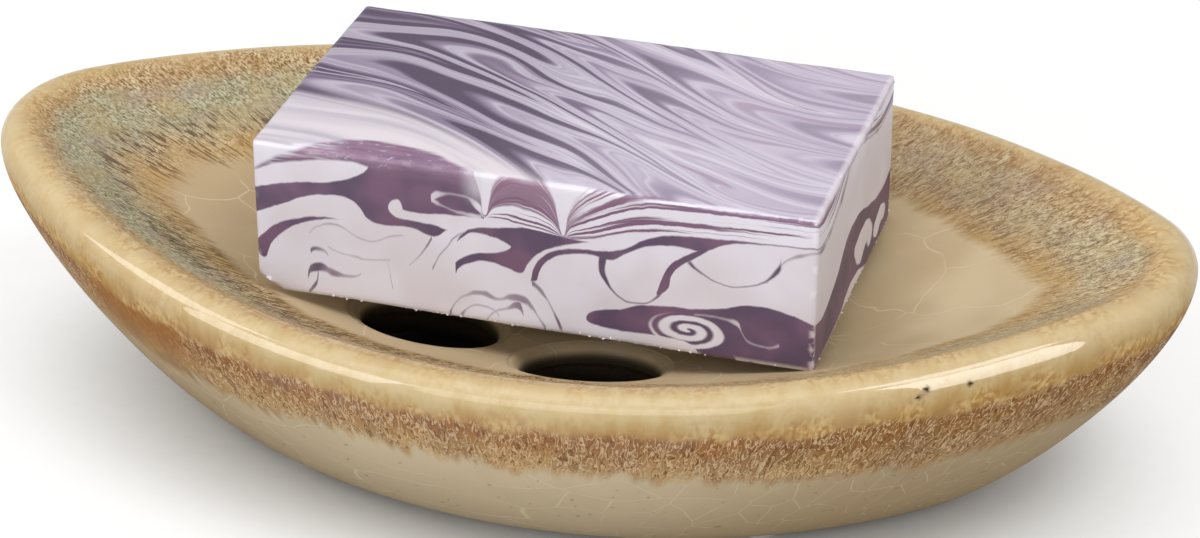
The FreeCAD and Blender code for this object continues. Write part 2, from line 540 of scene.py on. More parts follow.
def drain_cutters(start, size, line):
    """Rows 0 and 1 of a cutter close its bottom, the last two its top, and the others make its flare."""
    grid, way, share = unit_grid(start, cutter_columns, cutter_rows)
    turn = way * math.tau
    row = share * cutter_rows
    bottom = row < 1.5
    top = row > cutter_rows - 1.5
    open_row = (row > 0.5) * (row < cutter_rows - 0.5)
    flare = ((row - 2) / (cutter_rows - 4)).most(0).least(1) * flare_end
    radius = (size.drain_radius + size.drain_lip * (1 - flare.cosine()) + top * cutter_spread) * open_row
    height = size.drain_lip * (flare.sine() - 1) * (1 - bottom - top)
    height = height - bottom * cutter_depth + top * cutter_rise
    spot = start.vector(radius * turn.cosine(), radius * turn.sine(), height)
    cutter = merged(placed(grid, Position=spot))
    ring = start.node("GeometryNodeMeshCircle", {},
                      {"Vertices": drain_count, "Radius": size.drain_ring_radius})
    ring = carried(ring, Rotation=(0, 0, drain_first_angle))
    cutters = realized(start.node("GeometryNodeInstanceOnPoints", {}, {"Points": ring, "Instance": cutter}))
    x, y, _ = position(start).parts()
    return placed(cutters, Offset=start.vector(0, 0, bowl_height(x, y, size, line)))


print("cutters for", drain_count, "drain holes are ready")

# %% [markdown]
# Three pin holes sit in the front lip, such as bubbles leave when they burst through a glaze. Small balls
# cut them in the same Boolean. All holes are painted dark inside as painted shade, so each point also keeps
# how far it is from the nearest one.

# %% Pin holes and the way to the nearest hole
pin_holes = [
    (Vector((59.6, -35.6, 34.5)) * mm, 0.18 * mm),
    (Vector((58.6, -36.4, 33.5)) * mm, 0.13 * mm),
    (Vector((64.9, -32.3, 34.4)) * mm, 0.17 * mm)]
pin_ball_steps = 3


def pin_place(place):
    """A place over the foot, where the tree works, from one in the frame."""
    return tuple(place - Vector((0, 0, dish_low.z)))


def pin_cutters(start):
    pins = []
    for place, radius in pin_holes:
        ball = start.node("GeometryNodeMeshIcoSphere", {}, {"Radius": radius, "Subdivisions": pin_ball_steps})
        pins.append(carried(ball, Translation=pin_place(place)))
    return joined(start, pins)


def drain_way(start, size):
    """How far a point lies outside the wall of the nearest pin hole, or of a drain hole seen from above."""
    x, y, _ = position(start).parts()
    ways = []
    for place, radius in pin_holes:
        ways.append(start.vector_math("DISTANCE", position(start), pin_place(place)) - radius)
    for hole in range(drain_count):
        angle = drain_first_angle + math.tau * hole / drain_count
        away_x = x - size.drain_ring_radius * math.cos(angle)
        away_y = y - size.drain_ring_radius * math.sin(angle)
        ways.append((away_x * away_x + away_y * away_y).root() - size.drain_radius)
    nearest = ways[0]
    for way in ways[1:]:
        nearest = nearest.least(way)
    return nearest


print("cutters for", len(pin_holes), "pin holes are ready")

# %% [markdown]
# ## From a tree to a plain mesh
# A tree is run by a modifier on an empty object. Its inputs are set by their identifiers, the result is
# copied out as an ordinary mesh, and the modifier goes away. What is left is a mesh like any other piece.


# %% Run a geometry tree
def end_shape(geometry, material):
    geometry = realized(geometry)
    dressed = geometry.node("GeometryNodeSetMaterial", {}, {"Geometry": geometry, "Material": material})
    return end_group(dressed)


def run_tree(name, tree, sizes):
    piece = bpy.data.objects.new(name, bpy.data.meshes.new(name + "_empty"))
    bpy.context.scene.collection.objects.link(piece)
    modifier = piece.modifiers.new("shape", "NODES")
    modifier.node_group = tree
    for item in tree.interface.items_tree:
        if item.in_out == "INPUT":
            modifier[item.identifier] = float(sizes[item.name])
    seen_by = bpy.context.evaluated_depsgraph_get()
    mesh = bpy.data.meshes.new_from_object(piece.evaluated_get(seen_by), depsgraph=seen_by)
    piece.modifiers.remove(modifier)
    piece.data = mesh
    mesh.name = name
    mesh.shade_smooth()
    print(name, len(mesh.vertices), "points", len(mesh.polygons), "faces")
    return piece


print("trees can be run")

# %% [markdown]
# ## Materials in sums
# A finish is a sum as well. Colours are written as they look on a screen, from 0 to 255, and turned into
# the light values that the shader wants. Lengths in a finish are millimetres, as a potter would give
# them.


# %% Helpers for finishes
def shade(red, green, blue):
    levels = [value / 255 for value in (red, green, blue)]
    return (*[v / 12.92 if v <= 0.04045 else ((v + 0.055) / 1.055) ** 2.4 for v in levels], 1.0)


def new_finish(name, **settings):
    """A material with a Principled shader. Gives the material, a start for sums, and the shader's inputs."""
    material = bpy.data.materials.new(name)
    material.use_nodes = True
    shader = material.node_tree.nodes["Principled BSDF"]
    for key, value in settings.items():
        shader.inputs[key.replace("_", " ")].default_value = value
    return material, Wire(material.node_tree), shader.inputs


def feed(wire, socket):
    wire.tree.links.new(wire.socket, socket)


def object_place(start):
    """Object coordinates in millimetres."""
    return start.node("ShaderNodeTexCoord", {}, {}, "Object").times(1 / mm)


def noise(where, grain, detail=2.0, distortion=0.0):
    return where.node("ShaderNodeTexNoise", {}, {
        "Vector": where, "Scale": 1 / grain, "Detail": detail, "Distortion": distortion}, "Fac")


def tinted(share, near, far):
    """A colour between two others."""
    return share.node("ShaderNodeMix", {"data_type": "RGBA"},
                      {"Factor_Float": share, "A_Color": near, "B_Color": far}, "Result_Color")


def layered(colour, *coats):
    """A colour under coats, each given as how much of it there is and its own colour."""
    for share, coat in coats:
        colour = tinted(share, colour, coat)
    return colour


def ramp(value, stops):
    return value.node("ShaderNodeValToRGB", {"stops": stops}, {"Fac": value}, "Color")


def band(value, middle, core, reach):
    """1 near a middle value, 0 further from it than the reach."""
    return 1 - abs(value - middle).rising(core, reach)


def bumped(height, depth, strength=1.0):
    return height.node("ShaderNodeBump", {}, {"Height": height, "Distance": depth, "Strength": strength})


print("helpers for finishes are ready")

# %% [markdown]
# ## The running glaze
# The glaze looks as if the rim was dipped once more and this second coat ran down both ways in the kiln.
# On the rim itself it is honey coloured. Below that it breaks into fine fur, and past the fur lies the
# plain cream glaze with its crackle. All of it follows one number, the distance run from the crest, so
# the finish is a row of bands on that number with ragged edges. First come the numbers that all bands
# share.

# %% Where a point lies in the run of the glaze
inner_run_length = 17.0
inner_run_longer_left = 8.5
inner_run_longer_right = 4.5


def glaze_places(start):
    on = SimpleNamespace(start=start, place=object_place(start))
    on.x, on.y, on.z = on.place.parts()
    run = start.node("ShaderNodeAttribute", {"attribute_name": "glaze_run"}, {}, "Vector").times(1 / mm)
    on.rim_x, on.rim_y, on.drop = run.parts()
    on.from_hole = start.node("ShaderNodeAttribute", {"attribute_name": "drain_way"}, {}, "Fac") / mm
    on.outside = on.drop > 0
    on.bare = on.drop > bare_clay_run / mm * 0.75
    longer = on.x.rising(-20, -60) * inner_run_longer_left + on.x.rising(35, 70) * inner_run_longer_right
    on.inner_way = on.drop / (longer * -1 - inner_run_length)
    on.tips = abs(on.rim_x).rising(15, 65)
    on.wander = noise(start.vector(on.rim_x, on.rim_y, 0), 13, 3.0) - 0.5
    on.drips = noise(stretched(on, 0.1), 2.0, 2.0) - 0.5
    on.patches = noise(on.place, 17, 1.5)
    return on


def stretched(on, squeeze):
    """Coordinates in which a noise is drawn out down the slope."""
    return on.start.vector(on.rim_x, on.rim_y, on.drop * squeeze)


print("places in the glaze are ready")

# %% [markdown]
# On the rim the glaze is palest over the outer lip and turns golden towards the fur. A colour ramp on the
# distance run gives these bands, and a noise drawn out down the slope bends them into soft flames.

# %% Honey rim
honey_lead = 4.5
honey_width = 12
honey_flame_length = 5
honey_stops = [
    (0.0, shade(168, 130, 76)), (0.2, shade(182, 151, 100)), (0.4, shade(193, 169, 124)),
    (0.56, shade(203, 184, 145)), (0.72, shade(191, 167, 118)), (0.84, shade(178, 140, 80)),
    (0.96, shade(152, 106, 56))]
honey_grain_stops = [(0.36, shade(156, 110, 58)), (0.48, shade(192, 154, 94)), (0.6, shade(214, 188, 136))]
pale_honey = shade(206, 186, 144)
painted_shade_tip_honey = shade(176, 144, 92)


def honey_rim(on):
    flames = noise(stretched(on, 0.3), 3.2, 2.5) - 0.5
    along = (on.drop + flames * honey_flame_length + honey_lead) / honey_width
    # Towards the tips the outer honey is darkened: painted shade.
    colour = layered(ramp(along.most(0).least(1), honey_stops),
                     (on.patches.rising(0.45, 0.7) * 0.4, pale_honey),
                     (on.tips * on.drop.rising(0, 4) * 0.35, painted_shade_tip_honey))
    grained = ramp(noise(stretched(on, 0.8), 0.8, 2.5, 0.5), honey_grain_stops)
    near_fur = on.drop.rising(1.5, -3.0).most(on.drop.rising(3.5, 7.0))
    return tinted((0.12 + near_fur * 0.6) * noise(on.place, 4, 1.5).rising(0.3, 0.6), colour, grained)


print("honey is ready")

# %% [markdown]
# Below the honey comes the brown fur: short pale and dark strokes that cross like worms. A noise with
# strong distortion has such strokes along its levels, so two thin bands of its values are enough. On the
# left of the front the glaze is calm and mostly amber.

# %% Outer fur
outer_honey_end = 6.2
outer_fur_end = 13.4
honey_rag = SimpleNamespace(tips=1.2, wander=2.6, drips=2.6)
fur_rag = SimpleNamespace(tips=4.6, wander=4, drips=6)
calm_middle = -54
amber_fur = shade(152, 98, 42)
sandy_fur = shade(186, 151, 102)
dusky_fur = shade(134, 102, 82)
painted_shade_tip_fur = shade(130, 96, 58)
calm_amber = shade(158, 100, 36)
pale_worm = shade(214, 189, 150)
dark_worm = shade(108, 68, 38)


def past_end(on, end, rag):
    """How many millimetres a point lies past the ragged end of a band."""
    return on.drop - end - on.tips * rag.tips - on.wander * rag.wander - on.drips * rag.drips


def outer_run(on):
    """Gives the colour of the fur, how far past its two ends a point lies, and its strokes."""
    begins = past_end(on, outer_honey_end, honey_rag)
    ends = past_end(on, outer_fur_end, fur_rag)
    fur_length = on.tips * fur_rag.tips + (outer_fur_end - outer_honey_end)
    way = (on.drop - outer_honey_end) / fur_length
    worms = noise(stretched(on, 0.4), 0.72, 1.5, 1.2)
    calm = abs(on.x - calm_middle).rising(14, 5) * on.y.rising(-8, -20)
    wormy = (1 - calm * 0.85) * way.rising(1.25, 0.8)
    # Towards the tips the fur is darkened: painted shade.
    colour = layered(tinted(way.rising(0.05, 0.9), amber_fur, sandy_fur),
                     (noise(on.place, 6, 1.0).rising(0.42, 0.65) * 0.4, dusky_fur),
                     (on.tips * 0.4, painted_shade_tip_fur),
                     (calm * way.rising(0.9, 0.2) * 0.6, calm_amber),
                     (band(worms, 0.47, 0.012, 0.05) * wormy * 0.75, pale_worm),
                     (band(worms, 0.58, 0.008, 0.035) * wormy * 0.9, dark_worm))
    return colour, begins, ends, worms


print("fur is ready")

# %% [markdown]
# Crackle comes when a glaze shrinks more than its clay as it cools. Here it shows on the plain glaze as
# fine pale lines, longer along the dish than across it. The cell edges of a Voronoi texture give them, on
# coordinates that a noise has bent.


# %% Cream glaze with crackle
crackle_bend = 0.5
crackle_bend_grain = 9
low_cream = shade(175, 157, 126)
high_cream = shade(206, 188, 158)
cloudy_cream = shade(180, 163, 134)
painted_shade_tip_cream = shade(156, 132, 98)
wall_line = shade(216, 206, 180)
iron_speck = shade(118, 92, 58)
floor_cream = shade(192, 171, 136)
pale_floor_cream = shade(210, 190, 155)
painted_shade_floor_cream = shade(176, 152, 118)
floor_line = shade(232, 220, 190)


def crackle_lines(on, first, second, thickness):
    """Lines on a sheet with two coordinates, so that they keep their width on any slope."""
    spread = on.start.node("ShaderNodeTexNoise", {}, {
        "Vector": on.place, "Scale": 1 / crackle_bend_grain, "Detail": 1.5}, "Color")
    flat = on.start.vector(first, second, 0)
    bent = on.start.vector_math("MULTIPLY_ADD", spread, (crackle_bend, crackle_bend, 0.0), flat)
    edge = on.start.node("ShaderNodeTexVoronoi", {"feature": "DISTANCE_TO_EDGE", "voronoi_dimensions": "2D"},
                         {"Vector": bent, "Scale": 1.0}, "Distance")
    gaps = noise(on.place, 9, 1.0).rising(0.34, 0.5)
    return (1 - edge.rising(thickness * 0.2, thickness)) * gaps


def cream_wall(on, lines):
    # Towards the tips the wall is darkened: painted shade.
    return layered(tinted(on.z.rising(1, 26), low_cream, high_cream),
                   (noise(on.place, 8, 2.0).rising(0.4, 0.7) * 0.3, cloudy_cream),
                   (on.tips * 0.6, painted_shade_tip_cream),
                   (lines * 0.4, wall_line),
                   (noise(on.place, 0.9, 0.0).rising(0.78, 0.83) * 0.45, iron_speck))


def cream_floor(on, lines):
    # Towards the left and the front the floor is darkened: painted shade standing in for the bar's shadow.
    painted_shade_mask = on.x.rising(-15, -45).most(on.y.rising(-12, -26))
    return layered(tinted(on.patches.rising(0.35, 0.65), floor_cream, pale_floor_cream),
                   (painted_shade_mask * 0.5, painted_shade_floor_cream),
                   (lines * 0.36, floor_line))


print("cream is ready")

# %% [markdown]
# Inside, the run is longer, with grains near the rim and dashes lower down. It holds lilac patches and,
# towards the ends of the dish, sea green ones, and an amber pool lies where it stops. Each kind of patch
# is a noise of its own size, kept to its share of the run, and they are laid over each other as coats.

# %% Inner run
warm_fur_stops = [
    (0.34, shade(116, 88, 58)), (0.43, shade(154, 122, 82)), (0.5, shade(180, 152, 112)),
    (0.57, shade(196, 174, 136)), (0.67, shade(216, 202, 170))]
sea_fur_stops = [
    (0.32, shade(114, 106, 84)), (0.43, shade(144, 140, 114)), (0.5, shade(160, 158, 132)),
    (0.57, shade(172, 172, 146)), (0.7, shade(194, 194, 170))]
straw_fleck = shade(182, 158, 108)
lilac_patch = shade(158, 142, 134)
rust_patch = shade(156, 114, 62)
golden_patch = shade(188, 160, 114)
pale_inner_worm = shade(214, 198, 166)
dark_inner_worm = shade(100, 74, 58)
dark_dash = shade(80, 60, 46)
dark_stroke = shade(74, 56, 40)
amber_pool = shade(188, 146, 78)
back_shade = shade(140, 112, 82)


def patches_in(on, grain, detail, low, high):
    return noise(on.place, grain, detail).rising(low, high)


def inner_patches(on, fur):
    """Grains of the run with their sea green, lilac and golden patches."""
    mid_run = on.inner_way.rising(0.12, 0.28) * on.inner_way.rising(0.95, 0.6)
    upper = 1 - on.inner_way.rising(0.12, 0.35)
    sea = patches_in(on, 15, 1.5, 0.28, 0.52) * abs(on.x).rising(10, 55) * mid_run
    sea = sea * (0.8 - on.x.rising(0, 30) * 0.35)
    return layered(ramp(fur, warm_fur_stops),
                   (sea, ramp(fur, sea_fur_stops)),
                   (patches_in(on, 5, 1.5, 0.46, 0.64) * mid_run * 0.35, straw_fleck),
                   (patches_in(on, 7, 1.5, 0.5, 0.68) * mid_run * 0.4, lilac_patch),
                   (patches_in(on, 4, 2.0, 0.42, 0.62) * upper * 0.35, rust_patch),
                   (patches_in(on, 8, 1.5, 0.3, 0.55) * on.inner_way.rising(0.5, 0.8) * 0.7, golden_patch))


def inner_strokes(on, colour, lower):
    """Worms, long dashes on the left and short strokes near the front, over the patches."""
    worms = noise(stretched(on, 0.42), 0.8, 1.5, 1.4)
    wormy = on.x.rising(-10, 30).most(lower) * on.inner_way.rising(0.1, 0.3) * on.inner_way.rising(1.05, 0.8)
    dashes = noise(stretched(on, 0.2), 0.6, 0.5, 0.8).rising(0.55, 0.6) * (1 - on.x.rising(10, 40) * 0.4)
    dashes = dashes * patches_in(on, 7, 1.0, 0.36, 0.48) * on.inner_way.rising(0.42, 0.6)
    near_front = on.y.rising(-8, -20) * on.x.rising(25, 0) * on.inner_way.rising(0.3, 0.5)
    strokes = noise(stretched(on, 0.35), 0.7, 1.5, 1.0).rising(0.52, 0.58) * near_front
    return layered(colour,
                   (band(worms, 0.45, 0.01, 0.045) * wormy * 0.55, pale_inner_worm),
                   (band(worms, 0.56, 0.008, 0.036) * wormy * 0.7, dark_inner_worm),
                   (dashes * 0.75, dark_dash),
                   (strokes * 0.8, dark_stroke))


def inner_run(on):
    """Gives the colour of the run, how far past its two ends a point lies as shares of it, and its grains."""
    rag = on.wander * 0.5 + on.drips * 0.3
    at_back = on.y.rising(5, 30)
    begins = on.inner_way - 0.15 + at_back * 0.1 + on.x.rising(-35, -75) * 0.05 - rag * 0.35
    ends = on.inner_way - 1.0 - rag * 0.6
    lower = on.inner_way.rising(0.4, 0.75)
    grains = noise(stretched(on, 0.7), 0.42, 2.0, 0.5)
    scales = noise(stretched(on, 0.5), 0.55, 2.0, 1.0)
    fur = mixed(lower.most(on.x.rising(20, 45)) * 0.8, grains, scales)
    pool = band(ends, -0.1, 0.02, 0.26)
    pool = pool * (0.2 + on.y.rising(-15, 25) * 0.5) * patches_in(on, 16, 1.0, 0.3, 0.55)
    colour = layered(inner_strokes(on, inner_patches(on, fur), lower),
                     (pool * (1 - on.x.rising(0, 40) * 0.4), amber_pool),
                     (at_back * on.x.rising(0, 25) * 0.3, back_shade))
    return colour, begins, ends, fur


print("the inner run is ready")

# %% [markdown]
# Now the bands are laid over each other. The fur stands out a little and is duller than the smooth glaze.
# The photo doesn't show the underside. It gets bare clay, as on a foot that was wiped before firing.


# %% Glaze finish
wall_cell_length = 30
wall_cell_height = 5
wall_cell_skew = 0.4
floor_cell_length = 18
floor_cell_width = 12
wall_line_width = 0.026
floor_line_width = 0.014
glaze_roughness = 0.2
rougher_fur = 0.25
rougher_clay = 0.5
rim_polish = 0.8
duller_inside = 0.58
duller_wall = 0.55
duller_tips = 0.15
duller_holes = 0.9
fur_height = 2
crackle_height = 0.2
glaze_relief = 0.14 * mm
glaze_relief_strength = 0.7
dark_clay = shade(142, 120, 92)
pale_clay = shade(178, 158, 128)
hole_lip_line = shade(216, 200, 166)
hole_shadow = shade(20, 14, 9)


def glaze_finish():
    material, start, shader = new_finish("running_glaze", Specular_IOR_Level=0.0, Coat_Roughness=0.04)
    on = glaze_places(start)
    honey = honey_rim(on)
    along = on.rim_x / wall_cell_length + on.rim_y * wall_cell_skew
    lines = crackle_lines(on, along, on.drop / wall_cell_height, wall_line_width)
    floor_lines = crackle_lines(on, on.x / floor_cell_length, on.y / floor_cell_width, floor_line_width)
    fur, fur_begins, fur_ends, worms = outer_run(on)
    in_fur = fur_begins.rising(-0.6, 0.6)
    past_fur = fur_ends.rising(-1.5, 1.5)
    outer = layered(honey, (in_fur, fur), (past_fur, cream_wall(on, lines)))
    grain, run_begins, run_ends, inner_fur = inner_run(on)
    in_run = run_begins.rising(-0.08, 0.1)
    past_run = run_ends.rising(-0.1, 0.08)
    inner = layered(honey, (in_run, grain), (past_run, cream_floor(on, floor_lines)))
    # The holes are painted nearly black: a painted shadow inside them.
    in_hole = 1 - on.from_hole.rising(-0.1, 0.7)
    colour = layered(tinted(on.outside, inner, outer),
                     (on.bare, tinted(noise(on.place, 1.2, 3.0), dark_clay, pale_clay)),
                     (band(on.from_hole, 1.6, 0.1, 0.7) * 0.25 * (1 - on.outside), hole_lip_line),
                     (in_hole * 0.96, hole_shadow))
    feed(colour, shader["Base Color"])
    rough = mixed(on.outside, in_run * (1 - past_run), in_fur * (1 - past_fur))
    feed(glaze_roughness + rough * rougher_fur + on.bare * rougher_clay, shader["Roughness"])
    low_wall = (on.drop + on.tips * 4).rising(6.5, 10)
    inner_polish = rim_polish - on.drop.rising(-2, -5) * duller_inside
    outer_polish = rim_polish - low_wall * (duller_wall + on.tips * duller_tips)
    polish = mixed(on.outside, inner_polish, outer_polish)
    feed(polish * (1 - on.bare) * (1 - in_hole * duller_holes), shader["Coat Weight"])
    strokes = rough * mixed(on.outside, inner_fur, worms) * fur_height
    height = strokes + (lines + floor_lines) * crackle_height * (1 - rough)
    feed(bumped(height, glaze_relief, glaze_relief_strength), shader["Normal"])
    return material


running_glaze = glaze_finish()
print("running_glaze has", len(running_glaze.node_tree.nodes), "nodes")

# %% [markdown]
# ## The dish is put together
# The cutters take the holes out of the skin, and a slow noise pushes it about by a fraction of a
# millimetre, as on a dish made by hand. The cut has new points on the walls of the holes: they take their
# glaze from the nearest point of the uncut skin.


# %% The dish
hand_wobble_scale = 35.0
hand_wobble_starts = 2 * mm
hand_wobble_full = 12 * mm


def dish_tree(material):
    start, size = new_group("dish_shape", dish_sizes, "NodeSocketGeometry")
    line = dish_outlines(size)
    skin = dish_skin(start, size, line)
    cutters = drain_cutters(start, size, line)
    cut = start.node("GeometryNodeMeshBoolean", {"operation": "DIFFERENCE", "solver": "MANIFOLD"},
                     {"Mesh 1": skin, "Mesh 2": [cutters, pin_cutters(start)]})
    run = start.node("GeometryNodeInputNamedAttribute", {"data_type": "FLOAT_VECTOR"}, {"Name": "glaze_run"})
    run = start.node("GeometryNodeSampleNearestSurface", {"data_type": "FLOAT_VECTOR"},
                     {"Mesh": skin, "Value": run, "Sample Position": position(start)})
    cut = store(cut, "FLOAT_VECTOR", "glaze_run", run)
    cut = store(cut, "FLOAT", "drain_way", drain_way(start, size))
    slow = start.node("ShaderNodeTexNoise", {}, {
        "Vector": position(start), "Scale": hand_wobble_scale, "Detail": 1.0}, "Color")
    push = start.vector_math("SUBTRACT", slow, (0.5, 0.5, 0.5))
    _, _, z = position(start).parts()
    push = push.times(size.hand_wobble * z.rising(hand_wobble_starts, hand_wobble_full))
    cut = placed(cut, Offset=push)
    cut = carried(cut, Translation=start.vector(0, 0, size.foot_level))
    return end_shape(cut, material)


dish = run_tree("glazed_dish", dish_tree(running_glaze), dish_sizes)
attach(dish, "dish")
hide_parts("stoneware_dish")

# %% [markdown]
# ## The marbled bar
# The bar looks as if two soaps, one white and one dyed plum, were poured together, the top was drawn
# through with a comb, and the bar was cut from the block with a wire. So the colour belongs to the whole
# block, not to its skin: the finish says for any place in the block which soap is there, and the six
# sides show their cuts through it. All places are millimetres from the middle of the bar, below its top,
# and behind its front.

# %% Where a point lies in the bar
bar_low, bar_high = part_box("soap_bar")
bar_middle = (bar_low + bar_high) / 2
bar_half = (bar_high - bar_low) / 2 / mm
white_soap = shade(226, 223, 236)
plum_soap = shade(90, 72, 100)
course_top = -3.0
course_height = 30.0


def bar_places(start):
    on = SimpleNamespace(start=start, place=object_place(start))
    x, y, z = on.place.parts()
    on.x = x - bar_middle.x / mm
    on.y = y - bar_middle.y / mm
    on.depth = bar_high.z / mm - z
    on.behind = on.y + bar_half.y
    return on


def course(along, low, high, *spots):
    """A smooth line through a few places, each given as where and how much, between two ends."""
    scaled = [((where - low) / (high - low), (much - course_top) / course_height) for where, much in spots]
    line = along.node("ShaderNodeFloatCurve", {"spots": scaled}, {"Value": (along - low) / (high - low)})
    return line * course_height + course_top


def inside(value, edge=0.17):
    """1 where a value is above 0, with an edge as soft as the two soaps' own."""
    return value.rising(-edge, edge)


print("bar", [round(v * 2, 1) for v in bar_half], "mm")

# %% [markdown]
# On the top the comb's lines run from left to right and bend to the front half way. Between two of its
# teeth the soap lags behind in a round tongue, and behind each tooth it is drawn into a fine streak: the
# shape of |sin|. A comb carries the soap along its lines, so the colour at a place is that of the stripe
# that the comb brought there.

# %% Combed top
comb_spacing = 10.5
comb_dip = 34.0
comb_pull = 56.0
comb_slope = 2.0
comb_sway = 11
combed_stops = [
    (0.37, shade(218, 211, 218)), (0.45, shade(194, 187, 200)), (0.5, shade(164, 153, 172)),
    (0.525, shade(194, 187, 200)), (0.56, shade(156, 143, 164)), (0.61, shade(110, 93, 119)),
    (0.66, shade(74, 59, 82))]
right_lilac = shade(192, 181, 200)
left_plum = shade(88, 74, 98)
rosy_streak = shade(150, 122, 146)
dull_pale = shade(189, 180, 191)
bright_pale = shade(221, 213, 217)


def combed_top(on):
    across = on.y + on.x.rising(-34, 42) * comb_dip
    sway = noise(on.start.vector(across * 0.5, on.x * 0.14, on.depth * 0.2), 5, 1.0) - 0.5
    lines = across + sway * comb_sway + on.depth * 0.5
    swing = (lines * (math.pi / comb_spacing)).sine()
    tongue = (swing * swing + 0.004).root()
    pull = comb_pull * (0.25 + noise(on.start.vector(across, on.x * 0.15, 3.0), 10, 1.0))
    stripe = on.x + tongue * pull + on.depth * comb_slope
    bands = noise(on.start.vector(stripe, across * 0.25, 0), 15, 1.6, 0.2)
    patches = noise(on.start.vector(across, on.x * 0.4, 9), 14, 1.0) - 0.5
    corner = on.behind.rising(38, 45) * on.x.rising(-15, -32)
    dark = bands + on.x.rising(26, -14) * 0.1 - corner * 0.09 + patches * 0.14
    rosy = noise(on.start.vector(stripe * 0.7, across, 20), 7, 0.5).rising(0.6, 0.68) * on.x.rising(12, 20)
    sheen = noise(on.start.vector(stripe * 0.12, lines, 5), 4.5, 1.5).rising(0.34, 0.66)
    return layered(ramp(dark, combed_stops),
                   (on.x.rising(-14, 32) * 0.5, right_lilac),
                   (on.x.rising(4, -16) * on.behind.rising(8, 16) * 0.2, left_plum),
                   (rosy * 0.6, rosy_streak),
                   (across.rising(-6, -10) * 0.92, tinted(sheen, dull_pale, bright_pale)))


print("the combed top is ready")

# %% [markdown]
# Below the comb's reach the two soaps lie as they were poured. Each plum stream lies between two smooth
# courses along the bar, an upper and a lower edge, and tapers where they meet. Two white inlets cut into
# the streams in the same way. A place on a course is given as millimetres along the bar and below its
# top.

# %% Courses of the streams
streams = [
    [((-41.3, 7.6), (-36, 6), (-30, 5), (-27, 4.1), (-24.6, 2.8), (-23.4, 1.2), (-22.4, -2), (-8.8, -2),
      (-7.9, 0.5), (-7.1, 3.8), (-6.5, 7.6)),
     ((-41.3, 11.6), (-37, 9.6), (-33, 7.7), (-30, 7), (-27.2, 7.2), (-25.4, 8.1), (-24.2, 9.8),
      (-22.5, 10.5), (-17, 10.4), (-14.3, 11.2), (-12.2, 9.9), (-6.5, 7.4))],
    [((-11, 13.2), (-9.8, 10), (-8, 8.9), (-4, 8.2), (0, 7.6), (3, 7.6), (6, 8.2), (9.2, 8.6)),
     ((-11, 17), (-10.4, 15.6), (-8.6, 14.5), (-6, 14), (-3, 14.6), (-1.4, 15), (-0.4, 13.6), (1.2, 11.6),
      (3.4, 10.2), (9.2, 8.3))],
    [((0, 16.6), (0.6, 13.9), (1.6, 12.2), (3.2, 10.9), (6, 9.9), (11, 9.5), (13.5, 8.8), (17.5, 6.4),
      (21, 5.4), (28, 4.9), (41.3, 4.2)),
     ((0, 16.2), (0.8, 16), (1.4, 14.2), (2.8, 12.3), (5, 11), (9, 10.4), (11.5, 10.8), (14, 9.4), (18, 7.5),
      (22, 7), (25, 7.2), (28, 5.8), (31, 5.1), (41.3, 4.5))],
    [((18.6, 15), (19.4, 12.2), (20.6, 9.9), (22.5, 8.4), (24.6, 7), (26.4, 5.6)),
     ((18.6, 15.3), (20.2, 14), (20.7, 11.8), (21.8, 10.2), (24, 8.5), (26.4, 6.6))],
    [((-41.3, 16.2), (-40, 14.8), (-38, 13), (-35, 11.7), (-32, 10.9), (-28, 10.8)),
     ((-41.3, 17.2), (-40.2, 18.8), (-39.2, 16.8), (-37.5, 14.6), (-35.3, 12.9), (-32.5, 11.6), (-28, 10.6))],
]
foot_stream = [
    ((8.3, 21.2), (8.8, 19.7), (10.5, 19), (13, 18.5), (16, 17.4), (20, 16.8), (25, 16.4), (28.5, 15.7),
     (31.5, 14.8), (34.5, 14.6), (38, 15.3), (41.3, 16.4)),
    ((8.3, 20.8), (9, 21.5), (20, 21.8), (23, 22.2), (24.6, 23.2), (25.6, 26), (41.3, 26))]
white_inlets = [
    [((-20.8, 7.8), (-20.2, 6.4), (-19.2, 6.2), (-18.8, 7.6), (-17, 7.9), (-12, 7.4), (-6, 7.2), (-3, 7.6)),
     ((-20.8, 7.4), (-20, 8.7), (-18, 9.2), (-14, 9.5), (-12, 9.9), (-10.5, 9.6), (-8, 8.6), (-3, 7.6))],
    [((-11.5, 12.6), (-9.8, 10.6), (-8, 9.6), (-5, 10), (-2.6, 11)),
     ((-11.5, 16), (-10.3, 14.2), (-8, 13), (-5, 12.3), (-3.2, 11.6), (-2.6, 10.8))],
]
print(len(streams) + 1, "streams and", len(white_inlets), "inlets")

# %% [markdown]
# Fine threads of one soap were drawn out in the other. A thread is one course with a small thickness, and
# a noise lets it swell and fade along its way, as a drawn thread does.

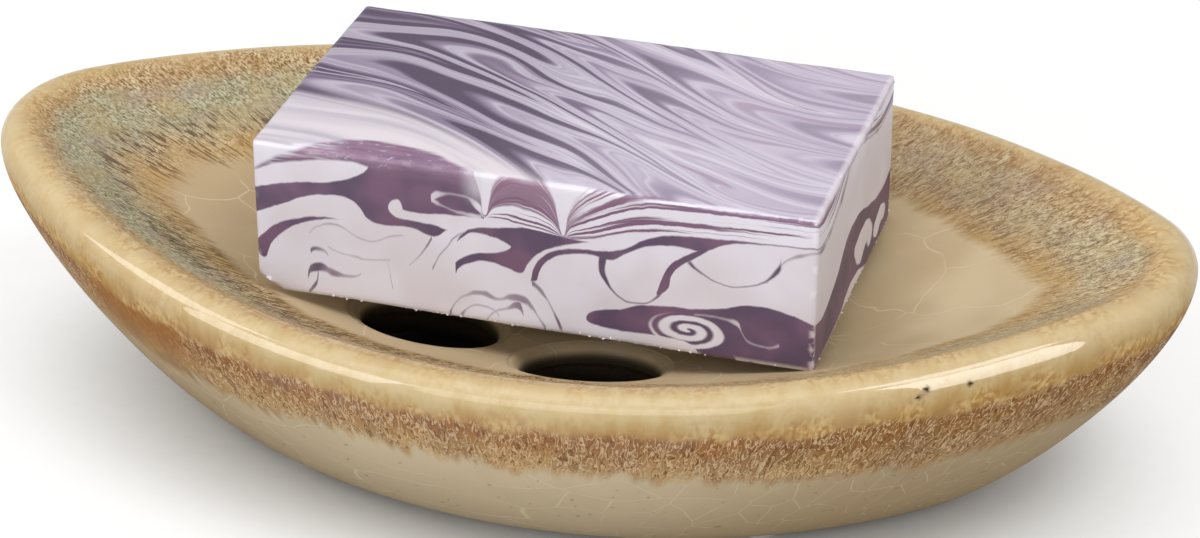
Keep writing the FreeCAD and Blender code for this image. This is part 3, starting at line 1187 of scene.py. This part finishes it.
# %% Threads
thread_edge = 0.25
threads = [
    (0.2, ((-33, 17.2), (-32, 16), (-31, 16.1), (-30.2, 17.2))),
    (0.2, ((-33.4, 23.6), (-33, 22.9), (-32.2, 21.6), (-31.9, 19.4))),
    (0.14, ((-21.3, 16), (-20.9, 18), (-20.6, 21))),
    (0.2, ((-33, 13.8), (-31.5, 12.3), (-29.5, 11.7), (-28, 11.9), (-26.5, 13), (-24.5, 13.6), (-22.5, 13.2),
            (-20.5, 12.2), (-18.8, 11.9))),
    (0.16, ((-30.2, 15.3), (-28.5, 16.1), (-25, 16.6), (-22, 16.3), (-20.8, 16.1))),
    (0.32, ((-33.5, 20.6), (-32.8, 19.4), (-31.5, 19.1), (-29, 19.7), (-26.5, 19.8), (-25.3, 18.8))),
    (0.14, ((-18, 16.6), (-16, 14.2), (-14.4, 11.4))),
    (0.14, ((-14.4, 16.8), (-13.6, 14.6), (-12.2, 12.6), (-10.5, 10.4), (-8, 9.2))),
    (0.3, ((-10.4, 23.6), (-9.4, 22.2), (-8, 21.4), (-6, 21.6), (-4.6, 22.8))),
    (0.36, ((-12, 23.6), (-11, 21.3), (-9.5, 20), (-7, 19.3), (-5, 19.9), (-3, 19.3), (-1.2, 19.1),
            (0.2, 20.2), (1.3, 22), (2.3, 23.6))),
    (0.4, ((-6.5, 23.6), (-5, 21.8), (-3, 21), (-1.6, 20.3), (-0.9, 22.6))),
    (0.28, ((0.2, 16.5), (1.5, 17.6), (2.8, 19.2), (3.7, 21), (4.8, 23.6))),
    (0.4, ((34.2, 10.5), (35.3, 9), (36.3, 7.5), (37.4, 6.4), (39, 5.6), (41.3, 5))),
]
white_threads = [
    (0.3, ((-14.3, 5.2), (-13, 4.3), (-10, 4), (-8, 4.9), (-6.7, 6.6))),
    (0.22, ((-14.3, 5.2), (-13, 6), (-10, 6.7), (-7, 7.1))),
    (0.26, ((24, 17.5), (28, 17.4), (30.3, 17.9), (31, 19.3), (32, 20.6), (34, 21), (36.3, 20.3))),
]


def along_front(on, spots):
    return course(on.along, -bar_half.x, bar_half.x, *spots)


def reached(on, spots):
    """1 between the ends of a course. One that comes to an end of the bar goes on past it."""
    first, last = spots[0][0], spots[-1][0]
    there = on.along > (first if first > -bar_half.x else first * 2)
    return there * (on.along < (last if last < bar_half.x else last * 2))


def between(on, edges):
    upper, lower = [along_front(on, spots) for spots in edges]
    return inside((on.level - upper).least(lower - on.level)) * reached(on, edges[0])


def thread(on, thickness, spots):
    uneven = thickness * (0.4 + on.thick * 2)
    faint = 0.5 + on.thick * 0.5
    off = abs(on.level - along_front(on, spots))
    return inside(uneven - off, thread_edge) * reached(on, spots) * faint


print(len(threads), "plum threads and", len(white_threads), "white ones")

# %% [markdown]
# On the right, white soap sank in round lobes that thin plum skins enclose: the lower halves of two
# ellipses. The stream at the foot holds a curl, a spiral drawn out along the bar, and two white pools
# near the right end. A lobe is given by its middle, its radii, the thickness of its skin and where the
# skin starts on the left.

# %% Lobes, curl and pools
lobes = [((15.3, 11.6), (4.7, 5.6), 0.34, -0.3), ((29.3, 6.6), (6.9, 5.4), 0.26, 0.4)]
lobe_right_start = 0.05
curl_middle = (23.0, 20.2)
curl_stretch = 2.0
curl_pitch = 1.32
curl_reach = 2.75
curl_start = 0.75
end_pools = [((29.5, 18.6), (5.2, 2.7)), ((40.0, 20.6), (3.8, 2.2))]


def lobe_skin(on, middle, radii, thickness, left_start):
    away_x = (on.along - middle[0]) / radii[0]
    away_z = (on.level - middle[1]) / radii[1]
    off = abs((away_x * away_x + away_z * away_z).root() - 1) * radii[1]
    on_left = away_x.rising(0.2, -0.2)
    thinner = thickness * (0.25 + away_z.rising(0.95, -0.1) * 1.6)
    thinner = thinner * on_left.most(away_z.rising(lobe_right_start, 0.45))
    return inside(thinner - off) * inside(away_z - mixed(on_left, lobe_right_start, left_start), 0.16)


def curl(on):
    away_x = (on.along - curl_middle[0]) / curl_stretch
    away_z = on.level - curl_middle[1]
    reach = (away_x * away_x + away_z * away_z).root()
    turn = on.start.math("ARCTAN2", away_z, away_x) / math.tau
    coil = on.start.math("FRACT", reach / curl_pitch - turn + curl_start)
    return inside(0.3 - abs(coil - 0.5), 0.12) * inside(curl_reach - reach, 0.15) * on.behind.rising(14, 10)


def end_pool(on, middle, radii):
    """White soap that sank into the stream at the foot, near the right end."""
    warp = noise(on.place, 7, 1.0) - 0.5
    away_y = (on.behind + warp * 9 - middle[0]) / radii[0]
    away_z = (on.depth + warp * 5 + on.tremble - middle[1]) / radii[1]
    return inside(1 - (away_y * away_y + away_z * away_z).root(), 0.06) * (on.x > 20)


print(len(lobes), "lobes and", len(end_pools), "pools")

# %% [markdown]
# All of these are laid into one block. Behind the front, slow drifts carry the courses up, down and
# along, so every cut through the block is another one. Each soap is a little uneven in itself, and near
# the top the comb has smeared the plum.

# %% Poured block
drift_along = 16
lean_along = 15
end_level = [(0, 0), (5, 0.9), (12, -0.6), (20, -4), (25, -4.2), (33, -2), (40, -0.6), (47, -1.5)]
rosy_plum = shade(116, 86, 114)
smeared_plum = shade(150, 116, 142)
plum_fleck = shade(206, 190, 206)
cloudy_white = shade(218, 212, 222)


def drift(on):
    """Adds where a place in the block was when the soaps were poured."""
    slow = noise(on.start.vector(on.x * 0.5, on.y * 0.7, on.depth * 0.7), 14, 0.0) - 0.5
    fine = noise(on.place, 1.1, 2.0) - 0.5
    on.tremble = noise(on.place, 4, 1.0) - 0.5
    on.thick = noise(on.start.vector(on.x, on.y, on.depth + 40), 5, 1.0).rising(0.4, 0.8)
    on.drawn_out = noise(on.start.vector(on.x * 0.12, on.y, on.depth), 0.9, 2.0).rising(0.3, 0.6)
    swept = slow * on.behind.rising(1, 14) * drift_along + on.behind.rising(4, 34) * lean_along
    on.along = on.x + swept + on.tremble * 0.6
    on.level = on.depth - course(on.behind, 0, bar_half.y * 2, *end_level) - on.tremble * 0.5 - fine * 0.3


def plum_share(on):
    """1 in the plum soap, 0 in the white."""
    dark = between(on, streams[0])
    for edges in streams[1:]:
        dark = dark.most(between(on, edges))
    for edges in white_inlets:
        dark = dark * (1 - between(on, edges))
    for one in threads:
        dark = dark.most(thread(on, *one))
    for one in lobes:
        dark = dark.most(lobe_skin(on, *one))
    foot = between(on, foot_stream)
    for one in end_pools:
        foot = foot * (1 - end_pool(on, *one))
    dark = dark.most(foot)
    for one in white_threads:
        dark = dark * (1 - thread(on, *one))
    drawn_pale = on.along.rising(-10.5, -7.5) * on.along.rising(-6, -7) * on.level.rising(6, 2.5)
    return dark * (1 - curl(on)) * (1 - drawn_pale * 0.6)


def poured_block(on):
    drift(on)
    flecks = noise(on.start.vector(on.x * 0.6, on.y, on.depth), 0.8, 2.0).rising(0.6, 0.7)
    on.plum = layered(tinted(noise(on.place, 8, 2.0).rising(0.4, 0.65), plum_soap, rosy_plum),
                      (on.depth.rising(3.2, 0.4) * (0.35 + on.drawn_out * 0.4), smeared_plum),
                      (flecks * on.depth.rising(2.0, 0.2) * 0.5, plum_fleck))
    white = tinted(noise(on.place, 12, 2.0).rising(0.35, 0.65), white_soap, cloudy_white)
    return tinted(plum_share(on), white, on.plum)


print("the poured block is ready")

# %% [markdown]
# Where the comb came out at the front it drew the soap down into two cusps, with arches hung between them
# and a white wedge above each. One number tells the arches apart: the height over the cusps' level,
# divided by how far the arch has opened at this place. Stripes on that number are arches.

# %% Combed front
arch_opening = [
    (-16, 1), (-11, 0.95), (-7.6, 0.5), (-6.5, 0.02), (-5.4, 0.5), (-3, 0.9), (-0.7, 1), (2, 0.9), (4, 0.5),
    (5, 0.02), (6, 0.45), (8, 0.75), (12, 0.95), (20, 1)]
least_opening = 0.03
cusp_level = [(-16, 6.9), (-6.5, 6.9), (5, 8.3), (9, 7.9), (12, 6.8), (16, 5.6), (24, 4.9), (41.3, 4.3)]
smear_back = [(-36, 0.2), (-31, 2.6), (-27, 4.4), (-22, 5), (-16, 4), (-12, 2.2), (-9, 0.8), (-7, 0.2)]
smear_upper = [(-41.3, 4.7), (-38, 2.4), (-34, 0.4), (-30, -2)]
smear_lower = [(-41.3, 4.8), (-37, 3), (-33, 2), (-28, 1.3), (-24.5, 1.5), (-22, 3.5)]
low_arch_plum = shade(122, 88, 118)
high_arch_plum = shade(142, 106, 132)


def combed_front(on):
    over = along_front(on, cusp_level) - on.level
    arch = over / along_front(on, arch_opening).most(least_opening)
    streaks = noise(on.start.vector(arch * 2.2, on.x * 0.05, on.y * 0.05), 1.5, 2.0)
    petal = arch.rising(3.8, 4.6) * on.along.rising(9, 5)
    dark = streaks.rising(0.48, 0.6).most(petal * (0.92 - streaks.rising(0.4, 0.3))) * arch.rising(10.5, 8)
    plum = tinted(arch.rising(3, 9), low_arch_plum, high_arch_plum)
    return tinted(dark, white_soap, plum), inside(over) * on.along.rising(-7.2, -6.6)


def whole_block(on):
    block = poured_block(on)
    front, at_front = combed_front(on)
    block = tinted(at_front, block, front)
    smear = inside(on.level - along_front(on, smear_upper), 0.5)
    smear = smear * inside(along_front(on, smear_lower) - on.level, 0.25) * on.along.rising(-20, -23)
    block = tinted(smear * on.drawn_out.most(on.along.rising(-33, -27)), block, on.plum)
    deep_enough = on.depth - on.behind.rising(0.2, 1.2) * 0.8
    past_smear = on.behind - along_front(on, smear_back) + (on.drawn_out - 0.5) * 0.6
    on_top = deep_enough.rising(0.5, -0.1) * inside(past_smear, 0.6)
    return tinted(on_top, block, combed_top(on))


print("the combed front is ready")

# %% [markdown]
# The edges are rubbed and chipped, and paler there, because soap that has dried is. Scuffs sit only where
# two sides meet.


# %% Soap finish
edge_zone = 1.1
edge_core = 0.2
soap_roughness = 0.4
rougher_scuffs = 0.25
rougher_grain = 0.15
soap_relief = 0.08 * mm
soap_relief_strength = 0.4
dry_soap_colour = shade(238, 230, 236)


def near_side(half, off):
    """1 at a side of the bar, 0 further in than the edge zone."""
    return (half - abs(off)).rising(edge_zone, edge_core)


def soap_finish():
    material, start, shader = new_finish("marbled_soap")
    on = bar_places(start)
    colour = whole_block(on)
    near_x = near_side(bar_half.x, on.x)
    near_y = near_side(bar_half.y, on.y)
    near_z = near_side(bar_half.z, on.depth - bar_half.z)
    edges = (near_x * near_y).most(near_y * near_z).most(near_x * near_z)
    low_or_right = on.depth.rising(16, 23).most(on.x.rising(36, 40))
    rubbed = noise(on.place, 2.6, 4.0) + on.depth.rising(21, 23.5) * on.x.rising(-10, 25) * 0.08
    scuffs = edges * rubbed.rising(0.52, 0.62) * (0.15 + low_or_right * 0.85)
    dry_edge = near_x * near_z * on.x.rising(37, 40) * on.depth.rising(4, 2)
    feed(tinted((scuffs * 0.7).most(dry_edge * 0.6), colour, dry_soap_colour), shader["Base Color"])
    grain = noise(on.place, 0.7, 3.0)
    feed(soap_roughness + scuffs * rougher_scuffs + grain * rougher_grain, shader["Roughness"])
    height = grain * 0.3 + noise(on.place, 6, 1.0) * 0.4 - scuffs * 0.4
    feed(bumped(height, soap_relief, soap_relief_strength), shader["Normal"])
    return material


marbled_soap = soap_finish()
print("marbled_soap has", len(marbled_soap.node_tree.nodes), "nodes")

# %% [markdown]
# ## The block of the bar
# The bar is a wire-cut block with edges rubbed round. A cube with enough points is drawn in towards a
# smaller core and let out again by the edge radius: that rounds all twelve edges in three sums. The lower
# left end is worn flat, and a slow noise makes the cut faces wavy.

# %% The bar
block_sizes = {
    "bar_length": bar_high.x - bar_low.x,
    "bar_width": bar_high.y - bar_low.y,
    "bar_height": bar_high.z - bar_low.z,
}
bar_sizes = {
    **block_sizes,
    "edge_radius": 0.55 * mm,
    "cut_wobble": 0.5 * mm,
    "worn_end": 2.2 * mm,
}
worn_end_slope = math.radians(32)
bar_spacing = 0.75 * mm
cut_wobble_scale = 60.0
cut_wobble_middle = 0.62


def bar_tree(material):
    start, size = new_group("bar_shape", bar_sizes, "NodeSocketGeometry")
    lengths = start.vector(size.bar_length, size.bar_width, size.bar_height)
    counts = [round(v / bar_spacing) for v in bar_high - bar_low]
    block = start.node("GeometryNodeMeshCube", {}, {
        "Size": lengths, "Vertices X": counts[0], "Vertices Y": counts[1], "Vertices Z": counts[2]})
    here = position(start)
    radius = start.vector(*[size.edge_radius] * 3)
    core = start.vector_math("SUBTRACT", lengths.times(0.5), radius)
    in_core = start.vector_math("MINIMUM", start.vector_math("MAXIMUM", here, core.times(-1.0)), core)
    out = start.vector_math("NORMALIZE", start.vector_math("SUBTRACT", here, in_core))
    rounded = start.vector_math("MULTIPLY_ADD", out, radius, in_core)
    block = placed(block, Position=rounded)
    wear_x = math.sin(worn_end_slope)
    wear_z = math.cos(worn_end_slope)
    corner = size.bar_length * (0.5 * wear_x) + size.bar_height * (0.5 * wear_z)
    reach = start.vector_math("DOT_PRODUCT", position(start), (-wear_x, 0.0, -wear_z))
    past = (reach - corner + size.worn_end).most(0)
    block = placed(block, Offset=start.vector(past * wear_x, 0, past * wear_z))
    slow = start.node("ShaderNodeTexNoise", {}, {
        "Vector": position(start), "Scale": cut_wobble_scale, "Detail": 2.0}, "Fac")
    normal = start.node("GeometryNodeInputNormal", {}, {})
    block = placed(block, Offset=normal.times((slow - cut_wobble_middle) * size.cut_wobble))
    return end_shape(carried(block, Translation=tuple(bar_middle)), material)


bar = run_tree("soap_block", bar_tree(marbled_soap), bar_sizes)
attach(bar, "soap")
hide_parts("soap_bar")

# %% [markdown]
# ## Crumbs
# Crumbs of white soap sit along the cut edges, most of them at the foot of the bar. They are strewn by a
# tree: the twelve edges of a box become points, a random draw keeps some of them, and each gets a small
# lump.

# %% Crumbs on the cut edges
crumb_sizes = {
    **block_sizes,
    "crumb_size": 0.22 * mm,
    "edge_inset": 0.36 * mm,
}
crumbs_on_an_edge = 230
crumb_seed = 7
crumb_spread = 0.2 * mm
crumb_turn = 6
crumb_least = (0.4, 0.5, 0.3)
crumb_most = (1.1, 1.5, 0.8)
clump_scale = 190.0
clump_levels = (0.38, 0.58)
low_edge_zone = (-0.3, -0.45)
low_edge_share = 0.75
right_edge_zone = (0.44, 0.46)
right_edge_share = 0.16
worn_end_zone = -0.42
pale_crumb = shade(230, 222, 226)
dull_crumb = shade(206, 194, 202)


def drawn_number(start, low, high, seed):
    return start.node("FunctionNodeRandomValue", {"data_type": "FLOAT"},
                      {"Min_001": low, "Max_001": high, "Seed": seed}, "Value_001")


def drawn_vector(start, low, high, seed):
    return start.node("FunctionNodeRandomValue", {"data_type": "FLOAT_VECTOR"},
                      {"Min": low, "Max": high, "Seed": seed}, "Value")


def crumb_tree(material):
    start, size = new_group("crumb_shape", crumb_sizes, "NodeSocketGeometry")
    inset = size.edge_inset * 2
    lengths = start.vector(size.bar_length - inset, size.bar_width - inset, size.bar_height - inset)
    box = start.node("GeometryNodeMeshCube", {}, {"Size": lengths})
    edges = start.node("GeometryNodeMeshToCurve", {}, {"Mesh": box})
    points = start.node("GeometryNodeCurveToPoints", {"mode": "COUNT"},
                        {"Curve": edges, "Count": crumbs_on_an_edge})
    x, _, z = position(start).parts()
    low = z.rising(*[size.bar_height * share for share in low_edge_zone])
    right = x.rising(*[size.bar_length * share for share in right_edge_zone])
    clumps = start.node("ShaderNodeTexNoise", {}, {"Vector": position(start), "Scale": clump_scale}, "Fac")
    clumps = clumps.rising(*clump_levels)
    share = (low * low_edge_share * clumps).most(right * right_edge_share * clumps)
    worn = x < size.bar_length * worn_end_zone
    gone = drawn_number(start, 0.0, 1.0, crumb_seed) > share * (1 - low * worn)
    points = start.node("GeometryNodeDeleteGeometry", {"domain": "POINT"},
                        {"Geometry": points, "Selection": gone})
    spread = drawn_vector(start, (-crumb_spread,) * 3, (crumb_spread,) * 3, crumb_seed + 1)
    points = placed(points, Offset=spread)
    lump = start.node("GeometryNodeMeshIcoSphere", {}, {"Radius": size.crumb_size, "Subdivisions": 2})
    strewn = start.node("GeometryNodeInstanceOnPoints", {}, {
        "Points": points, "Instance": lump,
        "Rotation": drawn_vector(start, (0, 0, 0), (crumb_turn,) * 3, crumb_seed + 2),
        "Scale": drawn_vector(start, crumb_least, crumb_most, crumb_seed + 3)})
    return end_shape(carried(strewn, Translation=tuple(bar_middle)), material)


def crumb_finish():
    material, start, shader = new_finish("dry_soap", Roughness=0.7)
    grain = noise(object_place(start), 0.4, 2.0)
    feed(tinted(grain, dull_crumb, pale_crumb), shader["Base Color"])
    return material


crumbs = run_tree("soap_crumbs", crumb_tree(crumb_finish()), crumb_sizes)
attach(crumbs, "soap")

# %% [markdown]
# ## The pads
# The four soft pads under the foot hardly show. Their CAD shape is right, so it stays and gets a rubber
# finish.

# %% Rubber finish for the pads
rubber_relief = 0.05 * mm
dark_rubber = shade(150, 148, 142)
pale_rubber = shade(182, 180, 174)


def rubber_finish():
    material, start, shader = new_finish("soft_rubber")
    grain = noise(object_place(start), 0.5, 3.0)
    feed(tinted(grain, dark_rubber, pale_rubber), shader["Base Color"])
    feed(0.6 + grain * 0.25, shader["Roughness"])
    feed(bumped(grain, rubber_relief), shader["Normal"])
    return material


soft_rubber = rubber_finish()
pads = sorted(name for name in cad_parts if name.startswith("foot_pad"))
for name in pads:
    for place_for_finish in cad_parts[name].material_slots:
        place_for_finish.material = soft_rubber
print("rubber on", pads)

# %% [markdown]
# ## The table
# The dish stands on a white table without an edge: one large square. White that only came from lamps
# would need so much light that the glaze would clip. So the table glows a little, but only to the camera
# and in reflections. To the light that it throws back it is a plain grey. Under the dish it is painted
# dark grey: a painted shadow.

# %% Table
table_reach = 4.0
table_glow = 0.55
table_greys = [shade(186, 185, 182), shade(196, 195, 192)]
table_whites = [shade(244, 244, 243), shade(250, 250, 249)]
painted_shadow_under_dish = shade(40, 36, 32)
glow_zone = (0.3, 1.2)
painted_shadow_zone = (0.3, 0.15)


def table_finish():
    material, start, shader = new_finish("pale_table", Roughness=0.8)
    place = object_place(start)
    x, y, _ = place.parts()
    path = start.node("ShaderNodeLightPath", {}, {}, "Is Camera Ray")
    seen = path.most(path.also("Is Glossy Ray")).most(path.also("Is Transmission Ray"))
    from_middle = (x / (dish_high.x / mm)) ** 2 + (y / (dish_high.y / mm)) ** 2
    seen_clear = seen * from_middle.rising(*glow_zone)
    grain = noise(place, 3.0)
    # Under the dish the table is painted dark: a painted shadow.
    colour = layered(tinted(grain, *table_greys),
                     (seen_clear, tinted(grain, *table_whites)),
                     (from_middle.rising(*painted_shadow_zone), painted_shadow_under_dish))
    feed(colour, shader["Base Color"])
    glow = start.node("ShaderNodeEmission", {}, {"Color": (1, 1, 1, 1), "Strength": 1.0})
    lit = Wire(start.tree, start.tree.nodes["Principled BSDF"].outputs[0])
    both = start.node("ShaderNodeMixShader", {}, {0: seen_clear * table_glow, 1: lit, 2: glow})
    feed(both, start.tree.nodes["Material Output"].inputs["Surface"])
    return material


table_mesh = bpy.data.meshes.new("table")
table_corners = [(x * table_reach, y * table_reach, 0) for x, y in ((-1, -1), (1, -1), (1, 1), (-1, 1))]
table_mesh.from_pydata(table_corners, [], [(0, 1, 2, 3)])
table_mesh.materials.append(table_finish())
table = bpy.data.objects.new("table", table_mesh)
bpy.context.scene.collection.objects.link(table)
print("table", 2 * table_reach, "m wide")

# %% [markdown]
# ## Light
# Long soft reflections on the glaze call for large soft boxes. Four of them give the light: left, right,
# front and above. Two more, the windows, only show as long bright reflections in the glazed rim and leave
# the dull part of every finish unlit, so that the gloss can be set without changing the colours. The
# world gives the rest.

# %% Lights
aim = Vector((0, 0, 30)) * mm
world_level = 0.62
soft_boxes = [
    dict(name="left_box", azimuth=-75, elevation=38, distance=0.9, width=0.34, height=0.36, level=5.5),
    dict(name="right_box", azimuth=68, elevation=60, distance=0.9, width=0.34, height=0.24, level=7.6),
    dict(name="front_box", azimuth=0, elevation=26, distance=1.1, width=0.9, height=0.6, level=2.2),
    dict(name="top_box", azimuth=-20, elevation=78, distance=1.0, width=0.8, height=0.6, level=0.9),
]
windows = [
    dict(name="right_window", azimuth=60, elevation=22, distance=0.7, width=0.3, height=0.72, level=11.0),
    dict(name="left_window", azimuth=-44, elevation=18, distance=0.9, width=0.5, height=0.55, level=6.0),
]


def soft_box(name, azimuth, elevation, distance, width, height, level):
    """A soft box that looks at the dish. The level is its own brightness, where 1 is white."""
    light = bpy.data.lights.new(name, "AREA")
    light.shape = "RECTANGLE"
    light.size = width
    light.size_y = height
    light.energy = level * math.pi * width * height
    lamp = bpy.data.objects.new(name, light)
    away = direction(math.radians(azimuth), math.radians(elevation))
    lamp.location = away * distance + aim
    lamp.rotation_euler = (-away).to_track_quat("-Z", "Y").to_euler()
    bpy.context.scene.collection.objects.link(lamp)
    return lamp


for one in soft_boxes:
    soft_box(**one)
for one in windows:
    soft_box(**one).visible_diffuse = False

world = bpy.data.worlds.new("studio")
bpy.context.scene.world = world
world.use_nodes = True
background = world.node_tree.nodes["Background"]
background.inputs["Color"].default_value = (1, 1, 1, 1)
background.inputs["Strength"].default_value = world_level
bpy.context.scene.view_settings.view_transform = "Standard"
print(len(soft_boxes), "soft boxes and", len(windows), "windows are on")

# %% [markdown]
